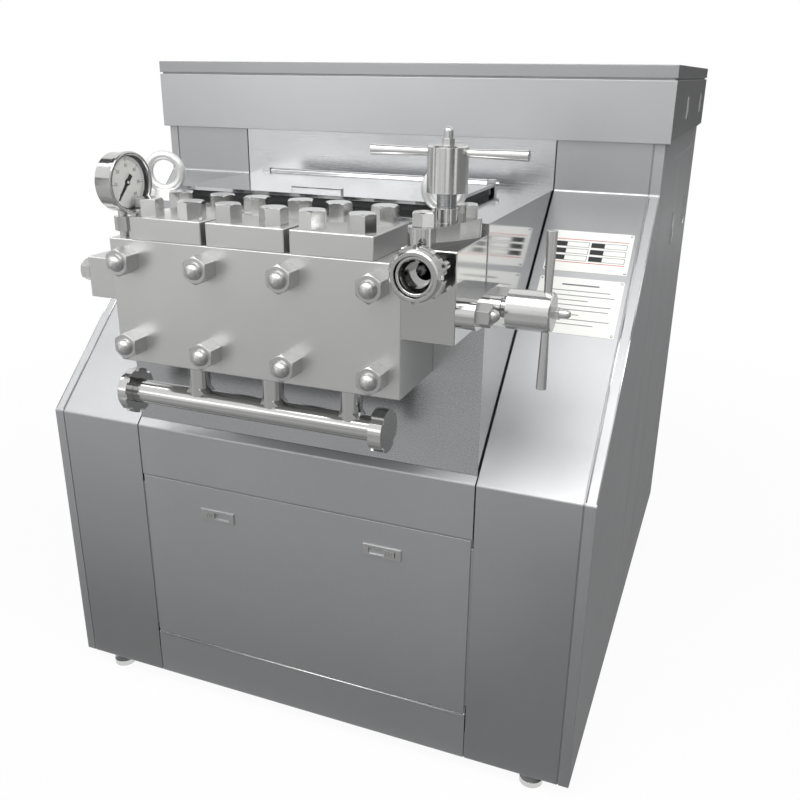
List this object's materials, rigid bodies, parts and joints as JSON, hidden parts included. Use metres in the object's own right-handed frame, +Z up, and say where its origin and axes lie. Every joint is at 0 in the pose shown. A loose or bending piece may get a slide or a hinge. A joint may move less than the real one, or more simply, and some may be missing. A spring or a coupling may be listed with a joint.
{
  "type": "dairy homogenizer",
  "caption": "Stainless steel plunger pump homogenizer with hand-set homogenizing valves in two stages, pressure gauge, inlet manifold and outlet union, on a sloping cabinet with a hood.",
  "frame": {"origin": "on the floor under the middle of the machine's outline", "axes": "+X to the right seen from the front, +Y to the back, +Z up"},
  "size_m": [0.98, 1.314, 1.123],
  "materials": {
    "panel_satin": "satin brushed stainless sheet",
    "case_polished": "polished stainless plate",
    "block_satin": "fine ground stainless block",
    "bright_steel": "polished stainless",
    "ground_steel": "ground and oiled",
    "frame_steel": "welded square tube",
    "pulley_iron": "turned grey iron",
    "motor_paint": "painted ribbed housing",
    "belt_rubber": "matte",
    "seal_rubber": "matte",
    "dial_white": "matte",
    "needle_black": "matte",
    "lens_glass": "clear"
  },
  "bodies": {
    "machine": {"left_side_panel": "panel_satin", "right_side_panel": "panel_satin", "left_front_panel": "panel_satin", "right_front_panel": "panel_satin", "front_header": "panel_satin", "front_sill": "panel_satin", "upper_wall": "panel_satin", "hood": "panel_satin", "hood_lid": "panel_satin", "rear_panel": "panel_satin", "crankcase": "case_polished", "pump_block": "block_satin", "valve_covers": "block_satin", "valve_block": "block_satin", "relief_block": "block_satin", "cover_bolts": "bright_steel", "head_nuts": "bright_steel", "union_nuts": "bright_steel", "inlet_manifold": "bright_steel", "inlet_liner": "bright_steel", "manifold_cap": "bright_steel", "outlet_liner": "bright_steel", "valve_bonnets": "bright_steel", "gauge_case": "bright_steel", "lifting_eyes": "bright_steel", "levelling_feet": "bright_steel", "main_bearings": "ground_steel", "base_frame": "frame_steel", "motor": "motor_paint", "drive_belts": "belt_rubber", "plunger_seals": "seal_rubber", "gauge_dial": "dial_white", "gauge_lens": "lens_glass"},
    "service_door": {"service_door": "panel_satin"},
    "service_latch_left": {"service_latch_left": "bright_steel"},
    "service_latch_right": {"service_latch_right": "bright_steel"},
    "side_door": {"side_door": "panel_satin"},
    "side_latch_front": {"side_latch_front": "bright_steel"},
    "side_latch_rear": {"side_latch_rear": "bright_steel"},
    "inspection_cover": {"inspection_cover": "panel_satin"},
    "crankshaft": {"crankshaft": "ground_steel", "drive_pulley": "pulley_iron"},
    "con_rod_1": {"con_rod_1": "ground_steel"},
    "con_rod_2": {"con_rod_2": "ground_steel"},
    "con_rod_3": {"con_rod_3": "ground_steel"},
    "plunger_1": {"plunger_1": "ground_steel"},
    "plunger_2": {"plunger_2": "ground_steel"},
    "plunger_3": {"plunger_3": "ground_steel"},
    "motor_rotor": {"motor_rotor": "pulley_iron"},
    "gauge_needle": {"gauge_needle": "needle_black"},
    "first_stage_rod": {"first_stage_rod": "ground_steel"},
    "first_stage_handle": {"first_stage_handle": "bright_steel"},
    "second_stage_rod": {"second_stage_rod": "ground_steel"},
    "second_stage_handle": {"second_stage_handle": "bright_steel"},
    "suction_valve_1": {"suction_valve_1": "ground_steel"},
    "delivery_valve_1": {"delivery_valve_1": "ground_steel"},
    "suction_valve_2": {"suction_valve_2": "ground_steel"},
    "delivery_valve_2": {"delivery_valve_2": "ground_steel"},
    "suction_valve_3": {"suction_valve_3": "ground_steel"},
    "delivery_valve_3": {"delivery_valve_3": "ground_steel"}
  },
  "joints": [
    {"name": "service_door_hinge", "type": "hinge", "parent": "machine", "child": "service_door", "pos_m": [0, -0.495, 0.12], "axis": [1, 0, 0], "range_deg": [0, 75]},
    {"name": "service_latch_left_slide", "type": "slide", "parent": "service_door", "child": "service_latch_left", "axis": [1, 0, 0], "range_m": [0, 0.0268]},
    {"name": "service_latch_right_slide", "type": "slide", "parent": "service_door", "child": "service_latch_right", "axis": [-1, 0, 0], "range_m": [0, 0.0268]},
    {"name": "side_door_hinge", "type": "hinge", "parent": "machine", "child": "side_door", "pos_m": [0.48, 0.375, 0.12], "axis": [0, 1, 0], "range_deg": [0, 70]},
    {"name": "side_latch_front_slide", "type": "slide", "parent": "side_door", "child": "side_latch_front", "axis": [0, 0, 1], "range_m": [0, 0.0268]},
    {"name": "side_latch_rear_slide", "type": "slide", "parent": "side_door", "child": "side_latch_rear", "axis": [0, 0, 1], "range_m": [0, 0.0268]},
    {"name": "inspection_cover_hinge", "type": "hinge", "parent": "machine", "child": "inspection_cover", "pos_m": [0, -0.166, 0.934], "axis": [-1, 0, 0], "range_deg": [0, 95]},
    {"name": "crank_spin", "type": "hinge", "parent": "machine", "child": "crankshaft", "pos_m": [0, 0.105, 0.788], "axis": [1, 0, 0], "continuous": true},
    {"name": "motor_spin", "type": "hinge", "parent": "machine", "child": "motor_rotor", "pos_m": [-0.38, 0.325, 0.25], "axis": [1, 0, 0], "continuous": true},
    {"name": "con_rod_1_pivot", "type": "hinge", "parent": "crankshaft", "child": "con_rod_1", "pos_m": [-0.128, 0.08, 0.788], "axis": [1, 0, 0], "continuous": true},
    {"name": "plunger_1_stroke", "type": "slide", "parent": "machine", "child": "plunger_1", "axis": [0, 1, 0], "range_m": [0, 0.05]},
    {"name": "con_rod_2_pivot", "type": "hinge", "parent": "crankshaft", "child": "con_rod_2", "pos_m": [0, 0.1175, 0.80965], "axis": [1, 0, 0], "continuous": true},
    {"name": "plunger_2_stroke", "type": "slide", "parent": "machine", "child": "plunger_2", "axis": [0, 1, 0], "range_m": [-0.03868, 0.01132]},
    {"name": "con_rod_3_pivot", "type": "hinge", "parent": "crankshaft", "child": "con_rod_3", "pos_m": [0.128, 0.1175, 0.76635], "axis": [1, 0, 0], "continuous": true},
    {"name": "plunger_3_stroke", "type": "slide", "parent": "machine", "child": "plunger_3", "axis": [0, 1, 0], "range_m": [-0.03868, 0.01132]},
    {"name": "suction_valve_1_lift", "type": "slide", "parent": "machine", "child": "suction_valve_1", "axis": [0, 0, 1], "range_m": [0, 0.006]},
    {"name": "delivery_valve_1_lift", "type": "slide", "parent": "machine", "child": "delivery_valve_1", "axis": [0, 0, 1], "range_m": [0, 0.006]},
    {"name": "suction_valve_2_lift", "type": "slide", "parent": "machine", "child": "suction_valve_2", "axis": [0, 0, 1], "range_m": [0, 0.006]},
    {"name": "delivery_valve_2_lift", "type": "slide", "parent": "machine", "child": "delivery_valve_2", "axis": [0, 0, 1], "range_m": [0, 0.006]},
    {"name": "suction_valve_3_lift", "type": "slide", "parent": "machine", "child": "suction_valve_3", "axis": [0, 0, 1], "range_m": [0, 0.006]},
    {"name": "delivery_valve_3_lift", "type": "slide", "parent": "machine", "child": "delivery_valve_3", "axis": [0, 0, 1], "range_m": [0, 0.006]},
    {"name": "needle_swing", "type": "hinge", "parent": "machine", "child": "gauge_needle", "pos_m": [-0.204, -0.598, 0.96], "axis": [-0.9976, 0.0698, 0], "range_deg": [0, 280]},
    {"name": "first_stage_lift", "type": "slide", "parent": "machine", "child": "first_stage_rod", "axis": [0, 0, 1], "range_m": [0, 0.006]},
    {"name": "first_stage_turn", "type": "hinge", "parent": "first_stage_rod", "child": "first_stage_handle", "pos_m": [0.263, -0.551, 1], "axis": [0, 0, 1], "range_deg": [0, 720]},
    {"name": "second_stage_lift", "type": "slide", "parent": "machine", "child": "second_stage_rod", "axis": [1, 0, 0], "range_m": [0, 0.006]},
    {"name": "second_stage_turn", "type": "hinge", "parent": "second_stage_rod", "child": "second_stage_handle", "pos_m": [0.38, -0.551, 0.826], "axis": [1, 0, 0], "range_deg": [0, 720]}
  ],
  "couplings": [
    {"joint": "motor_spin", "follows": "crank_spin", "ratio": 2.5239},
    {"joint": "con_rod_1_pivot", "follows": "crank_spin", "ratio": -1},
    {"joint": "con_rod_2_pivot", "follows": "crank_spin", "ratio": -1},
    {"joint": "con_rod_3_pivot", "follows": "crank_spin", "ratio": -1},
    {"joint": "first_stage_lift", "follows": "first_stage_turn", "m_per_rad": 0.00047746},
    {"joint": "second_stage_lift", "follows": "second_stage_turn", "m_per_rad": 0.00047746}
  ]
}
